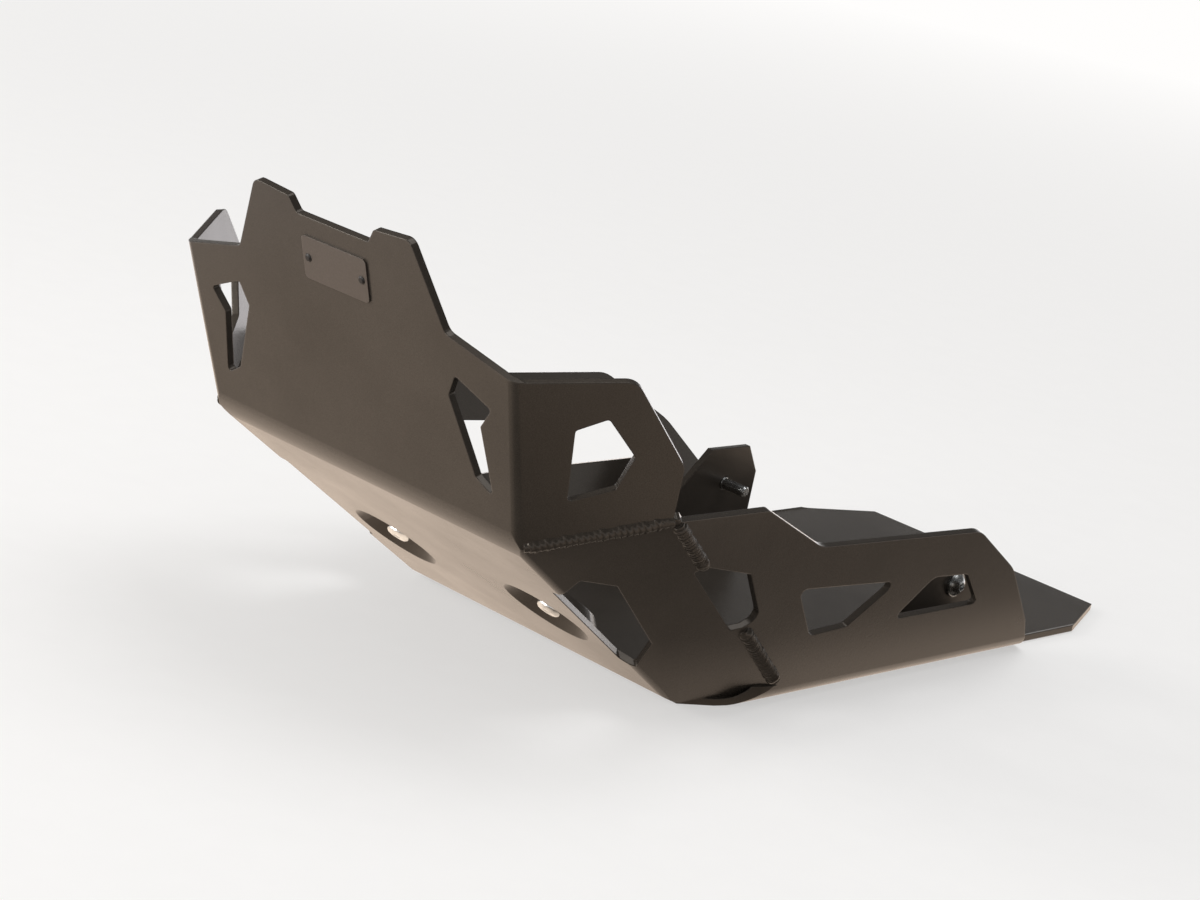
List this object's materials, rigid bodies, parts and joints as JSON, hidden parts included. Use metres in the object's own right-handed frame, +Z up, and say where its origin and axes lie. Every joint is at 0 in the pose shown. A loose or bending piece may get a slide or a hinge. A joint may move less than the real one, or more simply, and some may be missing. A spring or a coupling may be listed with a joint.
{
  "type": "motorcycle skid plate",
  "caption": "Folded and welded sheet skid plate that shields a motorcycle's engine from below, with pressed bolt pockets, cut-outs and a blank name plate.",
  "frame": {"origin": "centre of the overall length and width, on the underside of the flat bottom", "axes": "+Z up, the bike's front faces -Y, the bike's left side is +X"},
  "size_m": [0.3282, 0.6495, 0.2495],
  "materials": {
    "coated_sheet": "fine matt black powder coat over aluminium",
    "bolt_steel": "bright stainless",
    "badge": "matt black, blank",
    "rivet_black": "blackened"
  },
  "bodies": {
    "root": {"skid_plate": "coated_sheet", "rear_lugs": "coated_sheet", "front_bolts": "bolt_steel", "rear_bolts": "bolt_steel", "rear_washers": "bolt_steel", "name_plate": "badge", "rivets": "rivet_black"}
  },
  "joints": []
}
